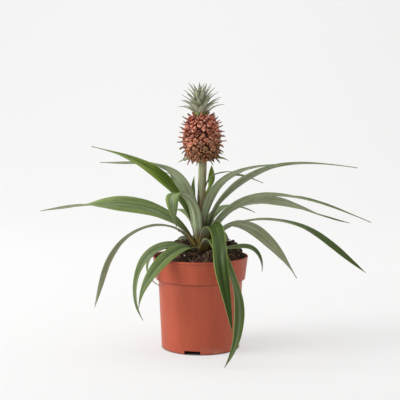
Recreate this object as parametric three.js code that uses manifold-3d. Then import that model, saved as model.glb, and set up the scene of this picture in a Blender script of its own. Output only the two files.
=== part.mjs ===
// Potted dwarf pineapple in fruit: a 12 cm plastic nursery pot, its peat root ball, and one plant
// with a rosette of strap leaves, a stalk, a small fruit and the fruit's crown.
// Millimetres, +Z up. The origin is on the pot's axis, in the plane that the pot's foot stands on.
// +X and -X are the plant's long sides, and -Y is its front.

import * as THREE from 'three';
import { mergeVertices } from 'three/addons/utils/BufferGeometryUtils.js';
import Module from 'manifold-3d';

const wasm = await Module();
wasm.setup();

// Pot: outer radii and heights of the tapered body and of the collar above it.
const FOOT_RADIUS = 49;
const BODY_TOP_RADIUS = 53;
const COLLAR_FOOT_RADIUS = 56.5;
const RIM_RADIUS = 60;
const COLLAR_FOOT_HEIGHT = 87;
const RIM_HEIGHT = 116;
const POT_WALL = 1.5;
const FLOOR_HEIGHT = 6;
const FOOT_WIDTH = 4;
const NOTCH_WIDTH = 20;
const NOTCH_HEIGHT = 4.8;
const NOTCH_TURNS = [258, 18, 138];
const DRAIN_RADIUS = 4;
const DRAIN_RING = 30;

// Root ball: a block of peat that stands proud of the rim, higher at the back and right.
const SEAT_GAP = 0.3;
const SOIL_EDGE_HEIGHT = 112.5;
const SOIL_FRONT_HEIGHT = 121;
const SOIL_BACK_HEIGHT = 129;
const SOIL_HOLE_RADIUS = 9.9;
const SOIL_HOLE_FLOOR = 96;

// Stem: a short cone that carries the leaves, and the thin stalk that it grows into.
const CONE_RADIUS = 9.6;
const CONE_FOOT = SOIL_HOLE_FLOOR + SEAT_GAP;
const CONE_SHOULDER = 118;
const CONE_TOP = 150;
const STALK_RADIUS = 5.3;
const STALK_TOP = 234;
const STALK_LEAN = 0.035;

// Fruit and crown, which lean to -X with the stalk's top.
const FRUIT_FOOT = 234.5;
const FRUIT_TOP = 291;
const FRUIT_RADIUS = 21.6;
const FRUIT_LEAN = -2.5;
const EYE_RINGS = 11;
const EYES_ROUND = 10;
const EYE_DRIFT = 0.06;
const EYE_RAISE = 2.2;
// Longer bracts round the fruit's foot: heading in degrees from +X, and length.
const FOOT_BRACTS = [[178, 27], [-7, 28], [92, 16], [261, 15]];
const CROWN_LEAVES = 42;
const CROWN_TOP = 332.5;

const GOLDEN_ANGLE = Math.PI * (3 - Math.sqrt(5));
const RAD = Math.PI / 180;

// Leaves: thickness at the middle and at the margin, and how far the blade stays off the stem.
const BLADE_MIDDLE = 1.3;
const BLADE_MARGIN = 0.75;
const WIDEST_AT = 0.45;
const FOOT_SHARE = 0.62;
const STATION_STEP = 17;

// One row a leaf, named for where it goes. foot: height of its foot on the stem. turn: compass
// heading in degrees from +X towards +Y. lean: slope of the midrib in degrees. roll: twist about
// the midrib in degrees. All three are given at points evenly spaced from foot to tip.
const LEAVES = [
  { name: 'upper_left', foot: 138.5, turn: [168, 196, 193], lean: [79, 60, 37, 23, 14],
    roll: [0, -30, -52, -26, 4], length: 185, width: 20 },
  { name: 'upper_left_rear', foot: 143, turn: [204, 196, 178, 133, 124, 162, 174],
    lean: [84, 76, 50, 12, -1, 0, 3], roll: [0, 40, 66, 22, 8, 22, 24], length: 210,
    width: 19 },
  { name: 'far_left', foot: 130, turn: [184, 172, 164], lean: [60, 26, 2, -7, -9],
    roll: [0, -42, -56, 10, 25], length: 218, width: 22 },
  { name: 'left_arch', foot: 127, turn: [170, 172, 168], lean: [60, -1, -42, -70, -74],
    roll: [0, 10, 16, 40, 76], length: 203, width: 14 },
  { name: 'left_droop', foot: 123.5, turn: [188, 182, 190], lean: [26, -17, -64, -90, -120],
    roll: [0, -45, -26, -32], length: 149, width: 14 },
  { name: 'left_low', foot: 120, turn: [206, 200, 196], lean: [28, 4, -34, -100, -155],
    roll: [0, 0, 0], length: 104, width: 11 },
  { name: 'left_front', foot: 122, turn: [242, 209, 188], lean: [30, -8, -40, -60, -82],
    roll: [0, -30, -20], length: 129, width: 19 },
  { name: 'front_left_fold', foot: 134, turn: [244, 228, 212, 286, 352],
    lean: [80, 76, 27, -72, -60], roll: [0, 10, -20], length: 131, width: 20 },
  { name: 'front', foot: 130, turn: [298, 286, 272, 296, 304], lean: [78, -8, -48, -66, -76],
    roll: [0, 34, 8, 0], length: 198, width: 18 },
  { name: 'front_right', foot: 124, turn: [290, 290, 322, 250, 192],
    lean: [50, -26, -66, -72, -57], roll: [0, -10, -60], length: 211, width: 17 },
  { name: 'upper_right', foot: 146, turn: [312, 326, 345], lean: [84, 62, 31, 12, 2],
    roll: [0, -14, 0], length: 164, width: 17 },
  { name: 'upper_right_rear', foot: 142, turn: [46, 32, 20], lean: [84, 73, 40, -10, -22],
    roll: [0, -20, 0], length: 138, width: 12 },
  { name: 'right_high', foot: 138, turn: [354, 350, 350], lean: [80, 48, 21, 0, -8],
    roll: [0, -30, -12, 0], length: 232, width: 17 },
  { name: 'far_right', foot: 133, turn: [342, 342, 350], lean: [68, 32, 0, -17, -22],
    roll: [0, -30, 0, 0], length: 234, width: 18 },
  { name: 'right_low', foot: 129.5, turn: [14, 8, 0], lean: [66, 34, -8, -19, -12],
    roll: [0, -46, 30], length: 212, width: 17 },
  { name: 'right_droop', foot: 126.5, turn: [338, 344, 350], lean: [54, 16, -12, -36, -38],
    roll: [0, 0, 60], length: 228, width: 17 },
  { name: 'right_rear_droop', foot: 124, turn: [33, 26, 14], lean: [67, 6, -34, -48, -56],
    roll: [0, -30, -40, 0], length: 177, width: 21 },
  { name: 'right_short', foot: 123.5, turn: [330, 338, 350, 350, 352],
    lean: [4, 9, 4, -56, -94], roll: [0, 20, 20], length: 92, width: 12 },
  { name: 'rear_left_high', foot: 134, turn: [114, 122, 136], lean: [78, 68, 46, 18, 0],
    roll: [0, 0, 0], length: 132, width: 14 },
  { name: 'rear_left', foot: 131, turn: [104, 124, 142], lean: [72, 36, 12, -8, -20],
    roll: [0, 0, 0], length: 112, width: 16 },
  { name: 'rear', foot: 126, turn: [82, 84, 82], lean: [58, 20, -22, -56, -74], roll: [0, 0, 0],
    length: 153, width: 18 },
  { name: 'rear_right', foot: 136, turn: [50, 44, 36], lean: [76, 44, 8, -12, -24],
    roll: [0, 0, 0], length: 112, width: 16 },
  { name: 'rear_low', foot: 124, turn: [112, 108, 106], lean: [34, -4, -44, -72, -80],
    roll: [0, 0, 0], length: 134, width: 16 },
  { name: 'rear_right_low', foot: 122.5, turn: [68, 60, 50], lean: [50, 14, -42, -66, -76],
    roll: [0, 0, 0], length: 128, width: 15 },
  { name: 'stalk_left', foot: 166, turn: [184, 182, 180], lean: [76, 82, 87, 94, 102],
    roll: [0, -30, -50, -52], length: 50, width: 8 },
  { name: 'stalk_right', foot: 190, turn: [44, 22, 64, 70], lean: [40, 70, 92, 92],
    roll: [0, 0, 0], length: 42, width: 11 },
  { name: 'stalk_front', foot: 205, turn: [-30, -14, -4], lean: [72, 46, 20, 8, 0],
    roll: [0, 0, 0], length: 40, width: 5 },
];

function seeded(seed) {
  let state = seed;
  return () => {
    state = (state * 1664525 + 1013904223) % 4294967296;
    return state / 4294967296;
  };
}

function mix(a, b, t) {
  return a + (b - a) * t;
}

function smooth(a, b, x) {
  const t = Math.min(1, Math.max(0, (x - a) / (b - a)));
  return t * t * (3 - 2 * t);
}

function solidOf(geometry) {
  const bare = geometry.clone();
  bare.deleteAttribute('normal');
  bare.deleteAttribute('uv');
  const merged = mergeVertices(bare, 1e-4);
  const mesh = new wasm.Mesh({
    numProp: 3,
    vertProperties: new Float32Array(merged.attributes.position.array),
    triVerts: new Uint32Array(merged.index.array),
  });
  mesh.merge();
  return new wasm.Manifold(mesh);
}

function geometryOf(solid) {
  const mesh = solid.getMesh();
  const geometry = new THREE.BufferGeometry();
  geometry.setAttribute('position', new THREE.BufferAttribute(mesh.vertProperties, 3));
  geometry.setIndex(new THREE.BufferAttribute(mesh.triVerts, 1));
  return geometry;
}

function lathe(points, sides) {
  const profile = points.map(([r, z]) => new THREE.Vector2(r, z));
  return new THREE.LatheGeometry(profile, sides).rotateX(Math.PI / 2);
}

// A closed skin round a row of rings that all have the same number of corners, each ring listed
// counter-clockwise as seen from the row's far end. The second half of each ring is split the
// other way, so that the two faces of a thin blade are split alike and keep their distance.
function skin(rings) {
  const corners = rings[0].length;
  const positions = rings.flat().flatMap((p) => [p.x, p.y, p.z]);
  const faces = [];
  for (let i = 0; i + 1 < rings.length; i += 1) {
    for (let j = 0; j < corners; j += 1) {
      const a = i * corners + j;
      const b = i * corners + ((j + 1) % corners);
      if (j < corners / 2) {
        faces.push(a, b, b + corners, a, b + corners, a + corners);
      } else {
        faces.push(a, b, a + corners, b, b + corners, a + corners);
      }
    }
  }
  const last = (rings.length - 1) * corners;
  for (let j = 1; j + 1 < corners; j += 1) {
    faces.push(0, j + 1, j);
    faces.push(last, last + j, last + j + 1);
  }
  const geometry = new THREE.BufferGeometry();
  geometry.setAttribute('position', new THREE.Float32BufferAttribute(positions, 3));
  geometry.setIndex(faces);
  return geometry;
}

// Value at t of a smooth curve through evenly spaced values.
function along(values, t) {
  const last = values.length - 1;
  const i = Math.min(last - 1, Math.floor(t * last));
  const u = t * last - i;
  const before = values[Math.max(0, i - 1)];
  const after = values[Math.min(last, i + 2)];
  const from = (values[i + 1] - before) / 2;
  const to = (after - values[i]) / 2;
  const square = u * u;
  const cube = square * u;
  return (2 * cube - 3 * square + 1) * values[i] + (cube - 2 * square + u) * from
    + (3 * square - 2 * cube) * values[i + 1] + (cube - square) * to;
}

function stemRadius(height) {
  return mix(CONE_RADIUS, STALK_RADIUS, smooth(CONE_SHOULDER, CONE_TOP, height));
}

function stemCentre(height) {
  return Math.max(0, height - CONE_TOP) * STALK_LEAN;
}

// Points and directions down a leaf's midrib, with its width and how far its section is curled.
function midrib(leaf, stations) {
  const steps = 8;
  const step = leaf.length / (stations * steps);
  const radius = stemRadius(leaf.foot) + SEAT_GAP + BLADE_MIDDLE / 2;
  const turn = leaf.turn[0] * RAD;
  const centre = stemCentre(leaf.foot);
  const point = new THREE.Vector3(
    centre + radius * Math.cos(turn),
    radius * Math.sin(turn),
    leaf.foot,
  );
  const clasp = Math.min(1.1, (leaf.width * FOOT_SHARE) / 2 / radius);
  const rows = [];
  for (let i = 0; i <= stations * steps; i += 1) {
    const t = i / (stations * steps);
    const slope = along(leaf.lean, t) * RAD;
    const heading = along(leaf.turn, t) * RAD;
    const forward = new THREE.Vector3(
      Math.cos(slope) * Math.cos(heading),
      Math.cos(slope) * Math.sin(heading),
      Math.sin(slope),
    );
    if (i % steps === 0) {
      const level = new THREE.Vector3(-Math.sin(heading), Math.cos(heading), 0);
      const side = level.applyAxisAngle(forward, along(leaf.roll, t) * RAD);
      const taper = t < WIDEST_AT
        ? mix(FOOT_SHARE, 1, smooth(0, WIDEST_AT, t))
        : 1 - ((t - WIDEST_AT) / (1 - WIDEST_AT)) ** 2;
      rows.push({
        point: point.clone(),
        side,
        up: new THREE.Vector3().crossVectors(forward, side),
        half: Math.max(0.45, (leaf.width * taper) / 2),
        curl: mix(clasp, 0.42, smooth(0, 0.3, t)) * mix(1, 0.5, smooth(0.6, 1, t)),
        thin: mix(1, 0.8, smooth(0.7, 1, t)),
      });
    }
    point.addScaledVector(forward, step);
  }
  return rows;
}

// A strap leaf: a channelled blade, thickest along its midrib.
function leafGeometry(leaf) {
  const stations = Math.max(8, Math.round(leaf.length / STATION_STEP));
  const across = [-1, -0.5, 0, 0.5, 1];
  const rings = midrib(leaf, stations).map((row) => {
    const radius = row.half / row.curl;
    const place = (q, lift) => {
      const angle = row.curl * q;
      const reach = radius - lift;
      return row.point.clone()
        .addScaledVector(row.side, reach * Math.sin(angle))
        .addScaledVector(row.up, radius - reach * Math.cos(angle));
    };
    const half = (q) => (mix(BLADE_MIDDLE, BLADE_MARGIN, Math.abs(q)) * row.thin) / 2;
    const over = across.map((q) => place(q, half(q)));
    const under = across.map((q) => place(q, -half(q))).reverse();
    return over.concat(under).reverse();
  });
  return skin(rings);
}

function potGeometry() {
  const taper = (BODY_TOP_RADIUS - FOOT_RADIUS) / COLLAR_FOOT_HEIGHT;
  const profile = [
    [0, FLOOR_HEIGHT],
    [FOOT_RADIUS - FOOT_WIDTH - 1, FLOOR_HEIGHT],
    [FOOT_RADIUS - FOOT_WIDTH, 0],
    [FOOT_RADIUS - 1.4, 0],
    [FOOT_RADIUS, 1.2],
    [BODY_TOP_RADIUS, COLLAR_FOOT_HEIGHT],
    [COLLAR_FOOT_RADIUS - 0.6, COLLAR_FOOT_HEIGHT],
    [COLLAR_FOOT_RADIUS, COLLAR_FOOT_HEIGHT + 0.6],
    [RIM_RADIUS - 0.2, RIM_HEIGHT - 2],
    [RIM_RADIUS, RIM_HEIGHT - 0.9],
    [RIM_RADIUS - 0.4, RIM_HEIGHT],
    [RIM_RADIUS - 1.4, RIM_HEIGHT],
    [RIM_RADIUS - 1.9, RIM_HEIGHT - 1],
    [COLLAR_FOOT_RADIUS - POT_WALL, COLLAR_FOOT_HEIGHT + 3],
    [BODY_TOP_RADIUS - POT_WALL, COLLAR_FOOT_HEIGHT - 1],
    [FOOT_RADIUS - POT_WALL + taper * 8, 8],
    [FOOT_RADIUS - POT_WALL - 2, FLOOR_HEIGHT + POT_WALL],
    [0, FLOOR_HEIGHT + POT_WALL],
  ];
  let pot = solidOf(lathe(profile, 44));
  for (const turn of NOTCH_TURNS) {
    const slot = new THREE.BoxGeometry(FOOT_WIDTH * 4, NOTCH_WIDTH, NOTCH_HEIGHT * 2);
    slot.translate(FOOT_RADIUS - FOOT_WIDTH / 2, 0, 0).rotateZ(turn * RAD);
    pot = pot.subtract(solidOf(slot));
    const drain = new THREE.CylinderGeometry(DRAIN_RADIUS, DRAIN_RADIUS, 20, 12);
    drain.rotateX(Math.PI / 2).translate(DRAIN_RING, 0, FLOOR_HEIGHT).rotateZ(turn * RAD);
    pot = pot.subtract(solidOf(drain));
  }
  return geometryOf(pot);
}

// Height of the peat's surface: a block that is higher at the back and right, with lumps on it.
function soilHeight(x, y) {
  const r = Math.hypot(x, y);
  const back = smooth(-30, 34, y + 0.35 * x);
  const top = mix(SOIL_FRONT_HEIGHT, SOIL_BACK_HEIGHT, back);
  const shoulder = mix(30, 49, back);
  const lumps = 1.1 * Math.sin(0.31 * x + 1.3) * Math.cos(0.27 * y - 0.6)
    + 0.8 * Math.sin(0.53 * y + 0.44 * x + 2.1);
  const edge = smooth(shoulder, 57, r);
  const lip = smooth(SOIL_HOLE_RADIUS, SOIL_HOLE_RADIUS + 15, r);
  return mix(mix(SOIL_FRONT_HEIGHT - 3, top + lumps, lip), SOIL_EDGE_HEIGHT, edge);
}

function soilGeometry() {
  const sides = 36;
  const wall = POT_WALL + SEAT_GAP;
  const taper = (BODY_TOP_RADIUS - FOOT_RADIUS) / COLLAR_FOOT_HEIGHT;
  const edge = 57.2;
  const top = [SOIL_HOLE_RADIUS, 15, 21, 28, 36, 44, 50, 54.5, edge];
  const below = [
    [COLLAR_FOOT_RADIUS - wall - 0.4, COLLAR_FOOT_HEIGHT + 4],
    [BODY_TOP_RADIUS - wall - 0.2, COLLAR_FOOT_HEIGHT - 1],
    [FOOT_RADIUS - wall + taper * 8 - 0.2, 8.5],
    [FOOT_RADIUS - wall - 2.4, FLOOR_HEIGHT + POT_WALL + SEAT_GAP],
  ];
  const ring = (radius, height) => Array.from({ length: sides }, (_, j) => {
    const angle = (j / sides) * 2 * Math.PI;
    const x = radius * Math.cos(angle);
    const y = radius * Math.sin(angle);
    return new THREE.Vector3(x, y, height === undefined ? soilHeight(x, y) : height);
  });
  const rings = [
    ring(SOIL_HOLE_RADIUS, SOIL_HOLE_FLOOR),
    ...top.map((radius) => ring(radius)),
    ...below.map(([radius, height]) => ring(radius, height)),
  ];
  return skin(rings.map((points) => points.reverse()));
}

function stemGeometry() {
  const heights = [CONE_FOOT, CONE_SHOULDER, 128, 134, 140, 146, CONE_TOP, 176, 202, STALK_TOP];
  const rings = heights.map((height) => {
    const radius = height === CONE_FOOT ? CONE_RADIUS - 2 : stemRadius(height);
    return Array.from({ length: 16 }, (_, j) => {
      const angle = (j / 16) * 2 * Math.PI;
      return new THREE.Vector3(
        stemCentre(height) + radius * Math.cos(angle),
        radius * Math.sin(angle),
        height,
      );
    });
  });
  return skin(rings);
}

// Slim pointed blade, from its root along +Y, curving up towards +Z by its bend.
function spike({ root, tip, deep, length, bend, steps }) {
  const rings = [];
  for (let i = 0; i <= steps; i += 1) {
    const t = i / steps;
    const half = mix(root, tip, t ** 2) / 2;
    const thick = Math.max(0.35, deep * (1 - 0.5 * t)) / 2;
    const angle = bend * t;
    const y = length * (bend ? Math.sin(angle) / bend : t);
    const z = length * (bend ? (1 - Math.cos(angle)) / bend : 0);
    rings.push([
      new THREE.Vector3(half, y - Math.sin(angle) * thick, z + Math.cos(angle) * thick),
      new THREE.Vector3(0, y + Math.sin(angle) * thick, z - Math.cos(angle) * thick),
      new THREE.Vector3(-half, y - Math.sin(angle) * thick, z + Math.cos(angle) * thick),
    ]);
  }
  return skin(rings);
}

function fruitRadius(t) {
  return FRUIT_RADIUS * Math.sin(Math.PI * mix(0.1, 0.9, Math.max(0, t) ** 0.94)) ** 0.46;
}

function leanFruit(geometry) {
  geometry.translate(0, 0, -FRUIT_FOOT);
  geometry.rotateY(FRUIT_LEAN * RAD);
  geometry.translate(stemCentre(STALK_TOP), 0, FRUIT_FOOT);
  return geometry;
}

// Point of the fruit's skin. Rings climb the fruit and columns go round it in half eyes, so that
// every other point of a ring is the middle of an eye, and those between are corners of the eyes.
function fruitPoint(ring, column, lift) {
  const t = ring / EYE_RINGS;
  const angle = (column / EYES_ROUND) * Math.PI + ring * EYE_DRIFT;
  const radius = fruitRadius(t) + lift;
  return new THREE.Vector3(
    radius * Math.cos(angle),
    radius * Math.sin(angle),
    mix(FRUIT_FOOT, FRUIT_TOP, t),
  );
}

// Diamond eyes in crossing spirals, each a low pad between sunken seams.
function fruitBody() {
  const points = [];
  const face = (...corners) => corners.forEach((p) => points.push(p.x, p.y, p.z));
  const seam = (ring, column) => fruitPoint(ring, column, -EYE_RAISE / 2);
  for (let ring = 1; ring < EYE_RINGS; ring += 1) {
    for (let column = ring % 2; column < 2 * EYES_ROUND; column += 2) {
      const middle = fruitPoint(ring, column, EYE_RAISE);
      const corners = [seam(ring - 1, column), seam(ring, column + 1),
        seam(ring + 1, column), seam(ring, column - 1)];
      const pad = corners.map((p) => p.clone().lerp(middle, 0.42));
      pad.forEach((p) => p.add(new THREE.Vector3(p.x, p.y, 0).setLength(EYE_RAISE * 0.6)));
      for (let k = 0; k < 4; k += 1) {
        const next = (k + 1) % 4;
        face(corners[k], corners[next], pad[next]);
        face(corners[k], pad[next], pad[k]);
        face(pad[k], pad[next], middle);
      }
    }
  }
  const foot = new THREE.Vector3(0, 0, FRUIT_FOOT);
  const top = new THREE.Vector3(0, 0, FRUIT_TOP);
  const odd = EYE_RINGS % 2;
  for (let column = 0; column < 2 * EYES_ROUND; column += 2) {
    face(seam(0, column - 1), seam(0, column + 1), seam(1, column));
    face(foot, seam(0, column + 1), seam(0, column - 1));
    const last = column + odd;
    face(seam(EYE_RINGS, last + 1), seam(EYE_RINGS, last - 1), seam(EYE_RINGS - 1, last));
    face(top, seam(EYE_RINGS, last - 1), seam(EYE_RINGS, last + 1));
  }
  const geometry = new THREE.BufferGeometry();
  geometry.setAttribute('position', new THREE.Float32BufferAttribute(points, 3));
  return geometry;
}

function fruitGeometry() {
  const random = seeded(7);
  const bracts = [];
  for (let ring = 1; ring < EYE_RINGS; ring += 1) {
    const t = ring / EYE_RINGS;
    for (let column = ring % 2; column < 2 * EYES_ROUND; column += 2) {
      const bract = spike({
        root: 4.4, tip: 1.4, deep: 2, length: 9.5, bend: mix(-0.5, 0.9, t) + 0.3 * random(), steps: 2,
      });
      const middle = fruitPoint(ring, column, 0);
      const angle = Math.atan2(middle.y, middle.x) - Math.PI / 2;
      bract.translate(0, Math.hypot(middle.x, middle.y) - 1, -1).rotateZ(angle);
      bracts.push(solidOf(bract.translate(0, 0, middle.z)));
    }
  }
  for (const [turn, length] of FOOT_BRACTS) {
    const leafy = spike({ root: 6.2, tip: 0.8, deep: 1.6, length, bend: -0.45, steps: 3 });
    leafy.rotateX(0.1).translate(0, 5, FRUIT_FOOT + 1.2).rotateZ((turn - 90) * RAD);
    bracts.push(solidOf(leafy));
  }
  return leanFruit(geometryOf(wasm.Manifold.union([solidOf(fruitBody()), ...bracts])));
}

function crownGeometry() {
  const foot = FRUIT_TOP + SEAT_GAP;
  const span = CROWN_TOP - foot;
  const core = lathe([[0, foot], [6.8, foot], [8, foot + 4], [6, foot + 13], [0, foot + 20]], 12);
  const random = seeded(19);
  const leaves = [];
  for (let i = 0; i < CROWN_LEAVES; i += 1) {
    const t = i / (CROWN_LEAVES - 1);
    const length = mix(26, span - 11, smooth(0.15, 1, t)) * mix(0.9, 1.06, random());
    const blade = spike({ root: 7.6, tip: 0.8, deep: 1.2, length, bend: mix(-1.05, -0.45, t), steps: 4 });
    blade.rotateX(mix(0.95, 1.5, t));
    blade.translate(0, mix(6.4, 1.2, t), 0).rotateZ(i * GOLDEN_ANGLE);
    blade.translate(0, 0, foot + mix(1.5, 11, t));
    leaves.push(solidOf(blade));
  }
  return leanFruit(geometryOf(wasm.Manifold.union([solidOf(core), ...leaves])));
}

function finish(color, roughness) {
  return new THREE.MeshStandardMaterial({ color, roughness, metalness: 0, side: THREE.FrontSide });
}

const plastic = finish(0xb5603f, 0.45);
const peat = finish(0x2a1c14, 0.95);
const stalkGreen = finish(0x8a8c64, 0.6);
const leafGreen = finish(0x5d7f3c, 0.5);
const fruitRed = finish(0xb0604a, 0.65);
const crownGreen = finish(0x82906c, 0.6);

function part(name, geometry, material) {
  const mesh = new THREE.Mesh(geometry, material);
  mesh.name = name;
  return mesh;
}

const plant = new THREE.Group();
plant.add(part('pot', potGeometry(), plastic));
plant.add(part('soil', soilGeometry(), peat));
plant.add(part('stem', stemGeometry(), stalkGreen));
plant.add(part('fruit', fruitGeometry(), fruitRed));
plant.add(part('crown', crownGeometry(), crownGreen));
for (const leaf of LEAVES) {
  plant.add(part(`leaf_${leaf.name}`, leafGeometry(leaf), leafGreen));
}

export default plant;
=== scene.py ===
"""Looks of a potted dwarf pineapple in fruit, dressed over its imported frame.

Metres, +Z up, with the origin on the pot's axis at its foot, as in the frame. Every leaf, the
stalk, the fruit, its crown, the peat and the pot are remodelled finer than their plain solids, in
the same places and to the same law of growth.
"""

import random
from math import atan2, cos, exp, floor, hypot, pi, radians, sin, sqrt, tau

import bmesh
import bpy
from mathutils import Matrix, Vector, noise


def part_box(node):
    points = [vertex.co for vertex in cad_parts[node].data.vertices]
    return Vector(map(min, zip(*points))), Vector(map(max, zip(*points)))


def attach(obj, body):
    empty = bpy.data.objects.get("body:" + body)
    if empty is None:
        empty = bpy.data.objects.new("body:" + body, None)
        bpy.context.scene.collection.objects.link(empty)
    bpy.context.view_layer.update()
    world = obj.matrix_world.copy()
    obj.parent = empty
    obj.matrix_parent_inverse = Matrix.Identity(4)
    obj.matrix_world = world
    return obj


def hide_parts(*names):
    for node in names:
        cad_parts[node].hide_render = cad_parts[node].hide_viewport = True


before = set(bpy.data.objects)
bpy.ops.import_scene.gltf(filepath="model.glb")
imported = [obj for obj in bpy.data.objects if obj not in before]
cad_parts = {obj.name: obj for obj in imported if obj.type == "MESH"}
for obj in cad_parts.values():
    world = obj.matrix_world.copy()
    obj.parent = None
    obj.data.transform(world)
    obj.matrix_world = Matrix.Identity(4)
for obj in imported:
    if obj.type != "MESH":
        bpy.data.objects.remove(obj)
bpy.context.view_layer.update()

# ---------------- dimensions

# Pot: outer radii and heights, and the sizes of its holes.
POT_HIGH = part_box("pot")[1]
RIM_RADIUS = POT_HIGH.x
RIM_HEIGHT = POT_HIGH.z
FOOT_RADIUS = 0.049
BODY_TOP_RADIUS = 0.053
COLLAR_FOOT_RADIUS = 0.0565
COLLAR_FOOT_HEIGHT = 0.087
POT_WALL = 0.0015
FLOOR_HEIGHT = 0.006
FOOT_WIDTH = 0.004
NOTCH_WIDTH = 0.02
NOTCH_HEIGHT = 0.0048
NOTCH_TURNS = (258, 18, 138)
DRAIN_RADIUS = 0.004
DRAIN_RING = 0.03
POT_STEPS = 180

# Root ball: a block of peat, higher at the back and right.
SOIL_EDGE_HEIGHT = 0.1125
SOIL_FRONT_HEIGHT = 0.121
SOIL_BACK_HEIGHT = 0.129
SOIL_HOLE_RADIUS = 0.0097
SOIL_HOLE_FLOOR = 0.1
SOIL_EDGE_RADIUS = 0.0572
SOIL_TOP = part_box("soil")[1].z
PEAT_STEPS = 200
PEAT_RINGS = 62

# Loose bits on the peat: how many of each, and how far out a fibre may reach.
SMALL_CRUMBS = 420
LARGE_CRUMBS = 130
PERLITE_GRAINS = 9
MOSS_SPOTS = 900
FIBRES = 120
FIBRE_REACH = 0.055

# Stem: a cone that carries the leaves, and the stalk that it grows into.
STEM_LOW, STEM_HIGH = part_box("stem")
CONE_RADIUS = 0.0096
CONE_SHOULDER = 0.118
CONE_TOP = 0.15
STALK_RADIUS = 0.0053
STALK_LEAN = 0.035
SEAT_GAP = 0.0003
STEM_STEPS = 40
STEM_RINGS = 90

# Fruit and crown: eyes stand in crossing spirals, each shifted and raised a little differently.
FRUIT_FOOT = 0.2345
FRUIT_TOP = 0.291
FRUIT_RADIUS = 0.0216
FRUIT_LEAN = radians(-2.5)
EYE_RINGS = 11
EYES_ROUND = 10
EYE_DRIFT = 0.06
EYE_RAISE = 0.0044
EYE_SHIFT = 0.0013
EYE_REACH = 0.0064
EYE_SEAM = 0.0021
EYE_GIRTH = 0.02
FRUIT_STEPS = 240
FRUIT_RINGS = 150
BRACT_THICK = 0.0018
CROWN_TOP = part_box("crown")[1].z
CROWN_BLADES = 38
CROWN_BLADE_THICK = 0.0008
CROWN_CORE_RADIUS = 0.0078

# Camera: its place, how far it looks down in degrees, and its lens and film width in millimetres.
CAMERA_PLACE = (-0.0005, -1.137, 0.292)
CAMERA_PITCH = 5.34
LENS = 82.05
FILM_WIDTH = 36.0

# Paper that the pot stands on: its width.
PAPER_WIDTH = 8.0

# Leaves: thickness at the middle and at the margin, and the law that the frame's leaves follow.
BLADE_MIDDLE = 0.0012
BLADE_MARGIN = 0.0004
STEM_CLEAR = 0.00065
LEAF_SUNK = 0.0016
LEAST_HALF_WIDTH = 0.00025
WIDEST_AT = 0.45
FOOT_SHARE = 0.75
STATION_STEP = 0.017
STEPS_A_STATION = 8
BLADE_COLUMNS = 12
GOLDEN_ANGLE = pi * (3 - sqrt(5))

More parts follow.
